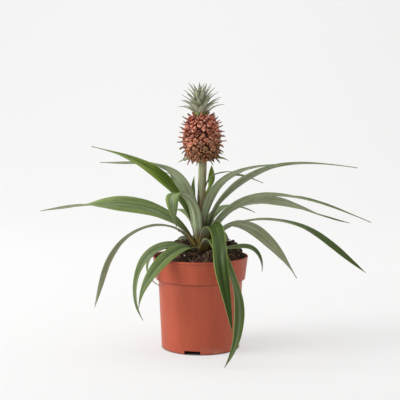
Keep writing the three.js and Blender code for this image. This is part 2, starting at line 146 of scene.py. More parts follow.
# One entry a leaf, named for where it goes: height of its foot on the stem, length and width, and
# two finishes from 0 to 1: how fresh a green its upper face is, and how much pale wax lies on it.
# Its second line has the heading in degrees from +X towards +Y, the slope of the midrib and the
# twist about it, each at points evenly spaced from foot to tip.
LEAVES = [
    ("upper_left", 0.1385, 0.185, 0.02, 1.0, 0.1,
     (168, 196, 193), (79, 60, 37, 23, 14), (0, -30, -52, -26, 4)),
    ("upper_left_rear", 0.143, 0.21, 0.019, 0.6, 0.6,
     (204, 196, 178, 133, 124, 162, 174), (84, 76, 50, 12, -1, 0, 3), (0, 40, 66, 22, 8, 22, 24)),
    ("far_left", 0.13, 0.218, 0.022, 0.6, 0.8,
     (184, 172, 164), (60, 26, 2, -7, -9), (0, -42, -56, 10, 25)),
    ("left_arch", 0.127, 0.203, 0.014, 0.2, 0.6,
     (170, 172, 168), (60, -1, -42, -70, -74), (0, 10, 16, 40, 76)),
    ("left_droop", 0.1235, 0.149, 0.014, 0.3, 0.6,
     (188, 182, 190), (26, -17, -64, -90, -120), (0, -45, -26, -32)),
    ("left_low", 0.12, 0.104, 0.011, 0.2, 0.5,
     (206, 200, 196), (28, 4, -34, -100, -155), (0, 0, 0)),
    ("left_front", 0.122, 0.129, 0.019, 0.35, 0.35,
     (242, 209, 188), (30, -8, -40, -60, -82), (0, -30, -20)),
    ("front_left_fold", 0.134, 0.131, 0.02, 1.0, 0.9,
     (244, 228, 212, 286, 352), (80, 76, 27, -72, -60), (0, 10, -20)),
    ("front", 0.13, 0.198, 0.018, 0.05, 0.0,
     (298, 286, 272, 296, 304), (78, -8, -48, -66, -76), (0, 34, 8, 0)),
    ("front_right", 0.124, 0.211, 0.017, 0.25, 0.3,
     (290, 290, 322, 250, 192), (50, -26, -66, -72, -57), (0, -10, -60)),
    ("upper_right", 0.146, 0.164, 0.017, 0.5, 0.6,
     (312, 326, 345), (84, 62, 31, 12, 2), (0, -14, 0)),
    ("upper_right_rear", 0.142, 0.138, 0.012, 0.5, 0.5,
     (46, 32, 20), (84, 73, 40, -10, -22), (0, -20, 0)),
    ("right_high", 0.138, 0.232, 0.017, 0.6, 0.5,
     (354, 350, 350), (80, 48, 21, 0, -8), (0, -30, -12, 0)),
    ("far_right", 0.133, 0.234, 0.018, 0.15, 0.1,
     (342, 342, 350), (68, 32, 0, -17, -22), (0, -30, 0, 0)),
    ("right_low", 0.1295, 0.212, 0.017, 0.2, 0.2,
     (14, 8, 0), (66, 34, -8, -19, -12), (0, -46, 30)),
    ("right_droop", 0.1265, 0.228, 0.017, 0.15, 0.1,
     (338, 344, 350), (54, 16, -12, -36, -38), (0, 0, 60)),
    ("right_rear_droop", 0.124, 0.177, 0.021, 0.2, 0.5,
     (33, 26, 14), (67, 6, -34, -48, -56), (0, -30, -40, 0)),
    ("right_short", 0.1235, 0.092, 0.012, 0.3, 0.5,
     (330, 338, 350, 350, 352), (4, 9, 4, -56, -94), (0, 20, 20)),
    ("rear_left_high", 0.134, 0.132, 0.014, 0.6, 0.4,
     (114, 122, 136), (78, 68, 46, 18, 0), (0, 0, 0)),
    ("rear_left", 0.131, 0.112, 0.016, 0.5, 0.4,
     (104, 124, 142), (72, 36, 12, -8, -20), (0, 0, 0)),
    ("rear", 0.126, 0.153, 0.018, 0.5, 0.4,
     (82, 84, 82), (58, 20, -22, -56, -74), (0, 0, 0)),
    ("rear_right", 0.136, 0.112, 0.016, 0.6, 0.4,
     (50, 44, 36), (76, 44, 8, -12, -24), (0, 0, 0)),
    ("rear_low", 0.124, 0.134, 0.016, 0.4, 0.5,
     (112, 108, 106), (34, -4, -44, -72, -80), (0, 0, 0)),
    ("rear_right_low", 0.1225, 0.128, 0.015, 0.3, 0.5,
     (68, 60, 50), (50, 14, -42, -66, -76), (0, 0, 0)),
    ("stalk_left", 0.166, 0.05, 0.008, 1.0, 0.6,
     (184, 182, 180), (76, 82, 87, 94, 102), (0, -30, -50, -52)),
    ("stalk_right", 0.19, 0.042, 0.011, 1.0, 0.0,
     (44, 22, 64, 70), (40, 70, 92, 92), (0, 0, 0)),
    ("stalk_front", 0.205, 0.04, 0.005, 0.5, 0.5,
     (-30, -14, -4), (72, 46, 20, 8, 0), (0, 0, 0)),
]


def mix(a, b, t):
    return a + (b - a) * t


def smooth(low, high, x):
    t = min(1.0, max(0.0, (x - low) / (high - low)))
    return t * t * (3 - 2 * t)


def along(values, t):
    """Value at t of a smooth curve through evenly spaced values."""
    last = len(values) - 1
    i = min(last - 1, floor(t * last))
    u = t * last - i
    before = values[max(0, i - 1)]
    after = values[min(last, i + 2)]
    start = (values[i + 1] - before) / 2
    end = (after - values[i]) / 2
    return (
        (2 * u**3 - 3 * u**2 + 1) * values[i]
        + (u**3 - 2 * u**2 + u) * start
        + (3 * u**2 - 2 * u**3) * values[i + 1]
        + (u**3 - u**2) * end
    )


def stem_radius(height):
    return mix(CONE_RADIUS, STALK_RADIUS, smooth(CONE_SHOULDER, CONE_TOP, height))


def stem_centre(height):
    return max(0.0, height - CONE_TOP) * STALK_LEAN


def around_axis(radius, angle, height=0.0):
    """The point at this distance from the Z axis, this angle from +X and this height."""
    return Vector((radius * cos(angle), radius * sin(angle), height))


def rough(point, size, seed, octaves=3):
    """Fractal noise from about -1 to 1 at a point, with lumps of the given size."""
    shifted = point / size + Vector((seed * 7.3, seed * 3.1, seed * 5.7))
    return noise.fractal(shifted, 0.6, 2.0, octaves)


# ---------------- mesh helpers

def marks(bm, *names):
    """Named values that the mesh carries at each corner, for its material to read."""
    return [bm.verts.layers.float.get(n) or bm.verts.layers.float.new(n) for n in names]


def blade(bm, rows, columns, shape, **values):
    """A closed thin blade: a grid doubled by an extrusion. shape(q, t, face) places each corner,
    for q from -1 to 1 across, t from 0 to 1 along, and face 1 above and -1 below. Every corner
    also carries the named values."""
    across, lengthwise, upper, *layers = marks(bm, "across", "along", "upper", *values)
    sheet = bmesh.ops.create_grid(bm, x_segments=columns, y_segments=rows, size=1.0)["verts"]
    faces = list({f for v in sheet for f in v.link_faces})
    grown = bmesh.ops.extrude_face_region(bm, geom=faces, use_keep_orig=True)["geom"]
    lid = [g for g in grown if isinstance(g, bmesh.types.BMVert)]
    for face, corners in ((-1, sheet), (1, lid)):
        for v in corners:
            q = v.co.x
            t = (v.co.y + 1) / 2
            v[across] = q
            v[lengthwise] = t
            v[upper] = (face + 1) / 2
            for layer, value in zip(layers, values.values()):
                v[layer] = value
            v.co = shape(q, t, face)
    shell = list({f for v in sheet + lid for f in v.link_faces})
    bmesh.ops.recalc_face_normals(bm, faces=shell)


def turned(bm, outline, steps):
    """Spins an open outline of (radius, height) points once round the Z axis."""
    points = [bm.verts.new((r, 0.0, z)) for r, z in outline]
    edges = [bm.edges.new(pair) for pair in zip(points, points[1:])]
    bmesh.ops.spin(
        bm, geom=points + edges, axis=(0, 0, 1), cent=(0, 0, 0), angle=tau, steps=steps,
        use_merge=True, use_duplicate=False,
    )


def open_edges(bm, height):
    """The edges of an open end at this height."""
    return [e for e in bm.edges if e.is_boundary and abs(e.verts[0].co.z - height) < 1e-5]


def cap(bm, *heights):
    """Closes the open ends at these heights."""
    for height in heights:
        bmesh.ops.edgeloop_fill(bm, edges=open_edges(bm, height))


def arc(centre, radius, start, end, steps):
    """Points of an arc in an outline, with its angles in degrees."""
    angles = [radians(mix(start, end, i / steps)) for i in range(steps + 1)]
    return [(centre[0] + radius * cos(a), centre[1] + radius * sin(a)) for a in angles]


def stand(name, data):
    """Puts a mesh, lamp or camera in the scene."""
    obj = bpy.data.objects.new(name, data)
    bpy.context.scene.collection.objects.link(obj)
    return obj


def skin(name, bm, material):
    """Makes a smooth-shaded object of a bmesh."""
    mesh = bpy.data.meshes.new(name)
    bm.to_mesh(mesh)
    bm.free()
    mesh.polygons.foreach_set("use_smooth", [True] * len(mesh.polygons))
    mesh.materials.append(material)
    return stand(name, mesh)


def piece(name, bm, material, slot, *nodes):
    """Makes a piece of the plant: it rides on the root body and may stand for CAD nodes."""
    bmesh.ops.recalc_face_normals(bm, faces=bm.faces)
    obj = skin(name, bm, material)
    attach(obj, "root")
    if nodes:
        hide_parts(*nodes)


# ---------------- node helpers

def put(tree, kind, settings=None, **sockets):
    """Adds a node, with its settings and its inputs. An underscore in a name is a space."""
    node = tree.nodes.new(kind)
    for key, value in (settings or {}).items():
        setattr(node, key, value)
    for key, value in sockets.items():
        wire(tree, value, node.inputs[key.replace("_", " ")])
    return node


def wire(tree, value, socket):
    """Links a value to an input, or sets a constant there. A colour is three numbers."""
    if isinstance(value, bpy.types.NodeSocket):
        tree.links.new(value, socket)
    elif socket.type == "RGBA":
        socket.default_value = (*value, 1.0)
    else:
        socket.default_value = value


def calc(tree, operation, a, b=0.0):
    node = tree.nodes.new("ShaderNodeMath")
    node.operation = operation
    wire(tree, a, node.inputs[0])
    wire(tree, b, node.inputs[1])
    return node.outputs[0]


def times(tree, a, b):
    return calc(tree, "MULTIPLY", a, b)


def blend(tree, factor, a, b):
    """Mixes two colours."""
    node = tree.nodes.new("ShaderNodeMix")
    node.data_type = "RGBA"
    wire(tree, factor, node.inputs[0])
    wire(tree, a, node.inputs[6])
    wire(tree, b, node.inputs[7])
    return node.outputs[2]


def span(tree, value, low, high, to_low=0.0, to_high=1.0):
    """Maps a value from one range to another, smoothly and clamped."""
    node = put(
        tree, "ShaderNodeMapRange", {"interpolation_type": "SMOOTHSTEP"},
        Value=value, From_Min=low, From_Max=high, To_Min=to_low, To_Max=to_high,
    )
    return node.outputs[0]


def cloud(tree, vector, scale, detail=3.0, roughness=0.6):
    node = put(
        tree, "ShaderNodeTexNoise",
        Vector=vector, Scale=scale, Detail=detail, Roughness=roughness,
    )
    return node.outputs[0]


def mark(tree, name):
    """The value that the mesh carries under this name."""
    return put(tree, "ShaderNodeAttribute", {"attribute_name": name}).outputs["Fac"]


def place(tree):
    return tree.nodes.new("ShaderNodeTexCoord").outputs["Object"]


def color(r, g, b):
    return (r, g, b, 1.0)


def effect(name, inputs, outputs):
    """An empty shader node group with named inputs and outputs."""
    tree = bpy.data.node_groups.new(name, "ShaderNodeTree")
    for label, kind, value in inputs:
        socket = tree.interface.new_socket(label, in_out="INPUT", socket_type=kind)
        if value is not None:
            socket.default_value = value
    for label, kind in outputs:
        tree.interface.new_socket(label, in_out="OUTPUT", socket_type=kind)
    return tree, tree.nodes.new("NodeGroupInput").outputs, tree.nodes.new("NodeGroupOutput").inputs


def use(tree, group, **sockets):
    return put(tree, "ShaderNodeGroup", {"node_tree": group}, **sockets).outputs


def finish(name, specular=0.5, **constants):
    """A new material with its Principled shader, and the values that are the same all over."""
    material = bpy.data.materials.new(name)
    material.use_nodes = True
    tree = material.node_tree
    shader = tree.nodes["Principled BSDF"]
    shader.inputs["Specular IOR Level"].default_value = specular
    for key, value in constants.items():
        shader.inputs[key.replace("_", " ")].default_value = value
    return material, tree, shader


def dress(tree, shader, body, roughness, height, strength, depth):
    """Gives a shader its colour, its roughness, and a fine relief of this strength and depth."""
    bump = put(tree, "ShaderNodeBump", Height=height, Strength=strength, Distance=depth)
    tree.links.new(body, shader.inputs["Base Color"])
    tree.links.new(roughness, shader.inputs["Roughness"])
    tree.links.new(bump.outputs[0], shader.inputs["Normal"])


# ---------------- shared effects

FLOAT = "NodeSocketFloat"
COLOR = "NodeSocketColor"
VECTOR = "NodeSocketVector"


def mottling():
    """Uneven colour in two sizes of patch, and a fine grain."""
    tree, given, result = effect(
        "mottling",
        [("Color", COLOR, color(0.5, 0.5, 0.5)), ("Vector", VECTOR, None),
         ("Patch Scale", FLOAT, 40.0), ("Grain Scale", FLOAT, 600.0), ("Strength", FLOAT, 0.2)],
        [("Color", COLOR), ("Height", FLOAT)],
    )
    patch = cloud(tree, given["Vector"], given["Patch Scale"], 4.0)
    grain = cloud(tree, given["Vector"], given["Grain Scale"], 2.0)
    both = calc(tree, "ADD", times(tree, patch, 0.65), times(tree, grain, 0.35))
    change = times(tree, calc(tree, "SUBTRACT", both, 0.5), given["Strength"])
    value = calc(tree, "ADD", times(tree, change, 4.0), 1.0)
    tone = put(tree, "ShaderNodeHueSaturation", Color=given["Color"], Value=value)
    tree.links.new(tone.outputs[0], result["Color"])
    tree.links.new(both, result["Height"])
    return tree


def lengthwise_veins():
    """Fine ribs and streaks that run the length of a blade."""
    tree, given, result = effect(
        "lengthwise_veins",
        [("Across", FLOAT, 0.0), ("Along", FLOAT, 0.0), ("Ribs", FLOAT, 30.0), ("Seed", FLOAT, 0.0)],
        [("Streaks", FLOAT), ("Height", FLOAT)],
    )
    spread = times(tree, given["Across"], given["Ribs"])
    slow = times(tree, given["Along"], 3.0)
    seed = times(tree, given["Seed"], 37.0)
    where = put(tree, "ShaderNodeCombineXYZ", X=spread, Y=slow, Z=seed).outputs[0]
    streaks = cloud(tree, where, 0.45, 4.0, 0.65)
    ribs = calc(tree, "SINE", times(tree, spread, 3.1))
    height = calc(tree, "ADD", streaks, times(tree, ribs, 0.12))
    tree.links.new(streaks, result["Streaks"])
    tree.links.new(height, result["Height"])
    return tree


def waxy_bloom():
    """The pale, powdery wax that lies on bromeliad leaves in patches."""
    tree, given, result = effect(
        "waxy_bloom",
        [("Color", COLOR, color(0.1, 0.2, 0.05)), ("Bloom Color", COLOR, color(0.5, 0.55, 0.45)),
         ("Amount", FLOAT, 0.5), ("Vector", VECTOR, None), ("Scale", FLOAT, 60.0)],
        [("Color", COLOR)],
    )
    patches = cloud(tree, given["Vector"], given["Scale"], 5.0, 0.7)
    mask = times(tree, span(tree, patches, 0.3, 0.75, 0.45, 1.0), given["Amount"])
    tree.links.new(blend(tree, mask, given["Color"], given["Bloom Color"]), result["Color"])
    return tree


MOTTLING = mottling()
VEINS = lengthwise_veins()
BLOOM = waxy_bloom()


# ---------------- finishes

def veined(tree, across, lengthwise, ribs, seed, low=0.3, high=0.7):
    """Streaks down a blade, and the height of its veins."""
    veins = use(tree, VEINS, Across=across, Along=lengthwise, Ribs=ribs, Seed=seed)
    return span(tree, veins["Streaks"], low, high), veins["Height"]


def waxed(tree, body, wax, amount, scale):
    """A colour with pale wax on it in patches."""
    return use(
        tree, BLOOM, Color=body, Bloom_Color=wax, Amount=amount, Vector=place(tree), Scale=scale,
    )["Color"]


def mottled(tree, body, patch, grain, strength):
    """A colour made uneven, and the height of its grain."""
    return use(
        tree, MOTTLING, Color=body, Vector=place(tree), Patch_Scale=patch, Grain_Scale=grain,
        Strength=strength,
    )


def leaf_finish():
    """Strap leaf: glossy green above, grey with scurf below, with pale margins, brown near the foot,
    partly its own colour and partly painted shade where the leaf bases crowd, olive at the very
    end, and a dry tip."""
    material, tree, shader = finish("pineapple_leaf", specular=0.18)
    names = ("along", "across", "upper", "fresh", "waxy", "seed")
    lengthwise, across, upper, fresh, waxy, seed = (mark(tree, name) for name in names)
    streaks, veins = veined(tree, across, lengthwise, 16.0, seed, 0.36, 0.64)
    bands, _ = veined(tree, across, lengthwise, 3.6, seed, 0.42, 0.6)
    edge = calc(tree, "ABSOLUTE", across)

    deep = blend(tree, fresh, (0.016, 0.036, 0.008), (0.07, 0.14, 0.008))
    light = blend(tree, fresh, (0.054, 0.092, 0.018), (0.35, 0.47, 0.07))
    top = blend(tree, times(tree, calc(tree, "ADD", streaks, bands), 0.5), deep, light)
    middle = times(tree, span(tree, edge, 0.62, 0.12), times(tree, bands, waxy))
    top = blend(tree, middle, top, (0.29, 0.35, 0.24))
    margin = times(tree, span(tree, edge, 0.84, 0.98), 0.75)
    top = blend(tree, margin, top, (0.24, 0.34, 0.045))
    top = waxed(tree, top, (0.31, 0.36, 0.23), times(tree, waxy, 0.5), 55.0)

    under = blend(tree, streaks, (0.122, 0.158, 0.058), (0.466, 0.538, 0.305))
    under = blend(tree, times(tree, bands, 0.62), under, (0.105, 0.13, 0.045))
    scurf = span(tree, cloud(tree, place(tree), 48.0, 5.0, 0.7), 0.54, 0.7)
    under = blend(tree, times(tree, scurf, 0.18), under, (0.21, 0.155, 0.08))
    under = waxed(tree, under, (0.52, 0.578, 0.41), 0.42, 70.0)
    body = blend(tree, upper, under, top)

    # Near the foot, brown below and dark olive in the channel: partly the leaf's own colour, partly
    # painted shade between the crowded leaf bases.
    foot_stain_and_shade = times(tree, span(tree, lengthwise, 0.17, 0.03), 0.9)
    foot = blend(tree, streaks, (0.085, 0.055, 0.04), (0.33, 0.255, 0.2))
    channel = blend(tree, streaks, (0.06, 0.036, 0.006), (0.19, 0.14, 0.012))
    foot = blend(tree, times(tree, upper, 0.9), foot, channel)
    body = blend(tree, foot_stain_and_shade, body, foot)
    olive = blend(tree, streaks, (0.12, 0.08, 0.012), (0.3, 0.225, 0.03))
    heel = times(tree, span(tree, lengthwise, 0.1, 0.02), 0.75)
    body = blend(tree, heel, body, olive)
    dry = times(tree, span(tree, lengthwise, 0.955, 0.99), 0.8)
    body = blend(tree, dry, body, (0.22, 0.15, 0.07))
    gloss = calc(tree, "ADD", times(tree, streaks, 0.1), 0.34)
    dull = times(tree, calc(tree, "SUBTRACT", 1.0, upper), 0.22)
    dress(tree, shader, body, calc(tree, "ADD", gloss, dull), veins, 0.55, 0.0004)
    return material


def crown_finish():
    """Blades of the crown: grey-green with darker margins, bright at the root. The leaves under
    the fruit have it too, a fresher green."""
    material, tree, shader = finish("crown_blade")
    names = ("along", "across", "seed", "fresh")
    lengthwise, across, seed, fresh = (mark(tree, name) for name in names)
    streaks, veins = veined(tree, across, lengthwise, 7.0, seed)
    body = blend(tree, streaks, (0.25, 0.265, 0.155), (0.51, 0.53, 0.35))
    body = waxed(tree, body, (0.64, 0.65, 0.5), 0.6, 180.0)
    root = times(tree, span(tree, lengthwise, 0.2, 0.04), 0.75)
    body = blend(tree, root, body, (0.27, 0.4, 0.08))
    edge = span(tree, calc(tree, "ABSOLUTE", across), 0.66, 0.98)
    body = blend(tree, times(tree, edge, 0.8), body, (0.05, 0.048, 0.03))
    body = blend(tree, fresh, body, (0.3, 0.35, 0.11))
    tip = times(tree, span(tree, lengthwise, 0.74, 1.0), 0.6)
    body = blend(tree, tip, body, (0.1, 0.085, 0.06))
    dress(tree, shader, body, span(tree, streaks, 0.0, 1.0, 0.42, 0.58), veins, 0.4, 0.0003)
    return material


def stalk_finish():
    """Stem and stalk: yellow-olive low down, grey-green above, flushed pink down one side."""
    material, tree, shader = finish("stalk_skin")
    height = mark(tree, "along")
    round_it = mark(tree, "across")
    streaks, veins = veined(tree, round_it, height, 22.0, 0.3)
    body = blend(tree, streaks, (0.22, 0.235, 0.1), (0.47, 0.48, 0.26))
    body = waxed(tree, body, (0.45, 0.46, 0.34), 0.3, 110.0)
    side = span(tree, calc(tree, "ABSOLUTE", calc(tree, "ADD", round_it, 0.16)), 0.28, 0.06)
    patchy = span(tree, cloud(tree, place(tree), 130.0, 4.0), 0.3, 0.62)
    flush = times(tree, calc(tree, "MAXIMUM", side, span(tree, height, 0.74, 0.56)), patchy)
    body = blend(tree, times(tree, flush, 0.85), body, (0.42, 0.15, 0.095))
    low = span(tree, height, 0.46, 0.22)
    olive = blend(tree, streaks, (0.09, 0.062, 0.01), (0.23, 0.19, 0.03))
    body = blend(tree, low, body, olive)
    dress(tree, shader, body, span(tree, streaks, 0.0, 1.0, 0.4, 0.55), veins, 0.5, 0.0004)
    return material


def fruit_finish():
    """Eyes of the fruit: salmon above, tan and brown lower down, with pale flecks and a painted
    highlight on the raised pads, painted shade in the hollows, and dark red-brown seams that are
    partly painted shade in the crevices.
    """
    material, tree, shader = finish("fruit_eyes")
    seam, tone, ripe, bulge = (mark(tree, name) for name in ("seam", "tone", "ripe", "bulge"))
    grain = mottled(tree, (0.5, 0.5, 0.5), 260.0, 1400.0, 0.35)
    blotches = span(tree, cloud(tree, place(tree), 330.0, 3.0, 0.7), 0.34, 0.66)
    shade = span(tree, calc(tree, "ADD", blotches, tone), 0.3, 1.7)
    upper = blend(tree, shade, (0.24, 0.021, 0.014), (0.92, 0.3, 0.175))
    lower = blend(tree, shade, (0.14, 0.026, 0.009), (0.5, 0.19, 0.058))
    body = blend(tree, ripe, lower, upper)
    # Pale flecks, strongest on the raised pads: partly the fruit's own flecks, partly a painted
    # highlight on the pads.
    flecks_and_highlight = times(tree, span(tree, grain["Height"], 0.44, 0.58), 0.85)
    pale = blend(tree, ripe, (0.68, 0.4, 0.2), (0.96, 0.56, 0.42))
    body = blend(tree, times(tree, flecks_and_highlight, span(tree, bulge, 0.4, 0.9)), body, pale)
    # Painted shade in the hollows of the relief.
    body = blend(tree, span(tree, bulge, 0.5, 0.18), body, (0.1, 0.016, 0.008))
    # Dark red-brown seams: partly the fruit's own colour, partly painted shade in the crevices.
    body = blend(tree, span(tree, seam, 0.44, 0.1), body, (0.045, 0.01, 0.005))
    gloss = span(tree, grain["Height"], 0.3, 0.7, 0.28, 0.5)
    dress(tree, shader, body, gloss, grain["Height"], 0.6, 0.0006)
    return material


def bract_finish():
    """Bracts on the eyes: pink or tan at the root, dull maroon or grey-brown at the tip."""
    material, tree, shader = finish("eye_bract", specular=0.2)
    lengthwise, across, seed = (mark(tree, name) for name in ("along", "across", "seed"))
    streaks, veins = veined(tree, across, lengthwise, 6.0, seed)
    dull = blend(tree, streaks, (0.08, 0.034, 0.022), (0.23, 0.11, 0.066))
    pink = blend(tree, streaks, (0.36, 0.08, 0.06), (0.7, 0.32, 0.22))
    body = blend(tree, span(tree, seed, 0.35, 0.7), dull, pink)
    root = blend(tree, mark(tree, "ripe"), (0.33, 0.16, 0.08), (0.52, 0.15, 0.105))
    body = blend(tree, times(tree, span(tree, lengthwise, 0.7, 0.2), 0.85), body, root)
    dress(tree, shader, body, span(tree, streaks, 0.0, 1.0, 0.42, 0.58), veins, 0.4, 0.0003)
    return material


def pot_finish():
    """Moulded terracotta-coloured plastic, a little scuffed, with peat dust under the rim, and painted
    shadow lines at the collar's foot and below the lip."""
    material, tree, shader = finish("terracotta_plastic", specular=0.3)
    flow = put(tree, "ShaderNodeMapping", Vector=place(tree), Scale=(1.0, 1.0, 0.12)).outputs[0]
    streaks = span(tree, cloud(tree, flow, 75.0, 3.0), 0.35, 0.65)
    clay = blend(tree, streaks, (0.455, 0.084, 0.038), (0.492, 0.094, 0.044))
    shade = mottled(tree, clay, 22.0, 420.0, 0.1)
    height = put(tree, "ShaderNodeSeparateXYZ", Vector=place(tree)).outputs["Z"]
    smudge = cloud(tree, place(tree), 60.0, 5.0, 0.7)
    rim = span(tree, height, RIM_HEIGHT - 0.01, RIM_HEIGHT)
    dust = times(tree, times(tree, rim, span(tree, smudge, 0.55, 0.75)), 0.5)
    body = blend(tree, dust, shade["Color"], (0.11, 0.05, 0.03))
    foot = span(tree, height, 0.012, 0.0)
    scuff = times(tree, times(tree, foot, span(tree, smudge, 0.45, 0.7)), 0.35)
    body = blend(tree, scuff, body, (0.62, 0.36, 0.27))
    # Painted shadow lines: a dark one where the collar overhangs the body, a fainter one below the lip.
    painted_shadow_lines = ((COLLAR_FOOT_HEIGHT, 0.0013, 0.75), (RIM_HEIGHT - 0.003, 0.0009, 0.35))
    for level, reach, strength in painted_shadow_lines:
        off = calc(tree, "ABSOLUTE", calc(tree, "SUBTRACT", height, level))
        groove = times(tree, span(tree, off, reach, reach * 0.3), strength)
        body = blend(tree, groove, body, (0.11, 0.024, 0.014))
    gloss = span(tree, smudge, 0.3, 0.7, 0.4, 0.52)
    dress(tree, shader, body, gloss, shade["Height"], 0.1, 0.0004)
    return material


def peat_finish():
    """Damp peat: near black, with reddish-brown lumps."""
    material, tree, shader = finish("damp_peat", specular=0.25)
    tone = mark(tree, "tone")
    shade = mottled(tree, (0.03, 0.015, 0.009), 150.0, 1100.0, 0.7)
    lumps = span(tree, cloud(tree, place(tree), 90.0, 4.0, 0.7), 0.52, 0.68)
    body = blend(tree, times(tree, lumps, 0.55), shade["Color"], (0.12, 0.042, 0.022))
    body = blend(tree, tone, body, (0.15, 0.062, 0.034))
    uneven = span(tree, shade["Height"], 0.3, 0.7, 0.75, 0.95)
    dress(tree, shader, body, uneven, shade["Height"], 0.9, 0.0012)
    return material


def litter_finish(name, dull, bright, roughness):
    """Loose bits on the peat, from dull to bright by each bit's own tone."""
    material, tree, shader = finish(name)
    shade = mottled(tree, blend(tree, mark(tree, "tone"), dull, bright), 400.0, 1800.0, 0.4)
    uneven = span(tree, shade["Height"], 0.3, 0.7, roughness - 0.1, roughness)
    dress(tree, shader, shade["Color"], uneven, shade["Height"], 0.5, 0.0004)
    return material


# ---------------- pot

def pot_outline():
    """From the floor's upper side, up the inside, over the rim and down the outside, to the floor's
    lower side."""
    inside = FOOT_RADIUS - POT_WALL
    taper = (BODY_TOP_RADIUS - FOOT_RADIUS) / COLLAR_FOOT_HEIGHT
    floor_top = FLOOR_HEIGHT + POT_WALL
    lip = 0.0008
    corner = 0.0022
    return [
        (inside - 0.002, floor_top),
        *arc((inside - 0.002, floor_top + 0.0015), 0.0015, -70, 0, 4),
        (inside + taper * 0.012, 0.012),
        (BODY_TOP_RADIUS - POT_WALL, COLLAR_FOOT_HEIGHT - 0.001),
        (COLLAR_FOOT_RADIUS - POT_WALL - 0.0004, COLLAR_FOOT_HEIGHT + 0.002),
        (COLLAR_FOOT_RADIUS - POT_WALL, COLLAR_FOOT_HEIGHT + 0.0032),
        (RIM_RADIUS - 0.0019, RIM_HEIGHT - 0.0014),
        *arc((RIM_RADIUS - lip, RIM_HEIGHT - lip), lip, 170, -10, 8),
        (RIM_RADIUS - 0.0001, RIM_HEIGHT - 0.0022),
        (RIM_RADIUS - 0.0006, RIM_HEIGHT - 0.003),
        (RIM_RADIUS - 0.0008, RIM_HEIGHT - 0.006),
        (COLLAR_FOOT_RADIUS + 0.0002, COLLAR_FOOT_HEIGHT + 0.003),
        (COLLAR_FOOT_RADIUS + 0.0001, COLLAR_FOOT_HEIGHT + 0.0009),
        (COLLAR_FOOT_RADIUS - 0.0005, COLLAR_FOOT_HEIGHT),
        (BODY_TOP_RADIUS + 0.0004, COLLAR_FOOT_HEIGHT),
        (BODY_TOP_RADIUS - 0.0001, COLLAR_FOOT_HEIGHT - 0.0006),
        (mix(FOOT_RADIUS, BODY_TOP_RADIUS, 0.5), COLLAR_FOOT_HEIGHT / 2),
        (FOOT_RADIUS + taper * 0.006, 0.006),
        (FOOT_RADIUS + taper * 0.0049, 0.0049),
        *arc((FOOT_RADIUS - corner + 0.0001, corner), corner, 5, -85, 6),
        (FOOT_RADIUS - FOOT_WIDTH, 0.0),
        (FOOT_RADIUS - FOOT_WIDTH - 0.001, FLOOR_HEIGHT),
    ]


def cut_notch(bm, turn):
    """Opens a drainage notch in the foot: cuts its sides, and lifts what lies between them."""
    radial = around_axis(1, turn)
    sideways = Vector((-radial.y, radial.x, 0))
    half = NOTCH_WIDTH / 2
    cut = 0.00006
    zone = 0.02
    for reach in (-half - cut, -half, half, half + cut):
        near = [v for v in bm.verts if v.co.z < zone and v.co.dot(radial) > zone]
        faces = list({f for v in near for f in v.link_faces})
        edges = list({e for f in faces for e in f.edges})
        bmesh.ops.bisect_plane(
            bm, geom=faces + edges + near, dist=1e-7, plane_co=sideways * reach, plane_no=sideways
        )
    for v in bm.verts:
        inside = abs(v.co.dot(sideways)) < half + cut / 2 and v.co.dot(radial) > zone
        if inside and v.co.z < NOTCH_HEIGHT:
            v.co.z = NOTCH_HEIGHT


def lay_floor(bm, height):
    """Fills the pot's floor at one height, round its drain holes. Returns the holes' edges."""
    rim = open_edges(bm, height)
    holes = []
    for turn in NOTCH_TURNS:
        at = Matrix.Rotation(radians(turn), 4, "Z")
        at = at @ Matrix.Translation((DRAIN_RING, 0, height))
        ring = bmesh.ops.create_circle(bm, segments=24, radius=DRAIN_RADIUS, matrix=at)["verts"]
        holes.append(list({e for v in ring for e in v.link_edges}))
    loops = rim + [e for hole in holes for e in hole]
    bmesh.ops.triangle_fill(bm, use_beauty=True, use_dissolve=False, edges=loops)
    return holes


def make_pot():
    bm = bmesh.new()
    turned(bm, pot_outline(), POT_STEPS)
    above = lay_floor(bm, FLOOR_HEIGHT + POT_WALL)
    below = lay_floor(bm, FLOOR_HEIGHT)
    for upper, lower in zip(above, below):
        bmesh.ops.bridge_loops(bm, edges=upper + lower)
    for turn in NOTCH_TURNS:
        cut_notch(bm, radians(turn))
    bmesh.ops.remove_doubles(bm, verts=bm.verts, dist=1e-6)
    bmesh.ops.dissolve_degenerate(bm, dist=1e-6, edges=bm.edges)
    piece("pot_shell", bm, pot_finish(), "pot_plastic", "pot")


# ---------------- peat

def soil_height(x, y):
    """Height of the peat block's surface, as the frame's plain block has it."""
    r = hypot(x, y)
    back = smooth(-0.03, 0.034, y + 0.35 * x)
    top = mix(SOIL_FRONT_HEIGHT, SOIL_BACK_HEIGHT, back)
    shoulder = mix(0.03, 0.049, back)
    lumps = 0.0011 * sin(310 * x + 1.3) * cos(270 * y - 0.6)
    lumps += 0.0008 * sin(530 * y + 440 * x + 2.1)
    lip = smooth(SOIL_HOLE_RADIUS, SOIL_HOLE_RADIUS + 0.015, r)
    ground = mix(SOIL_FRONT_HEIGHT - 0.003, top + lumps, lip)
    return mix(ground, SOIL_EDGE_HEIGHT, smooth(shoulder, SOIL_EDGE_RADIUS, r))


def peat_surface(x, y):
    """The same surface, broken up into lumps and crumbs."""
    point = Vector((x, y, 0.0))
    z = soil_height(x, y)
    z += 0.0016 * rough(point, 0.009, 1) + 0.0008 * rough(point, 0.0032, 2, 4)
    return min(z, SOIL_TOP - 0.0002)


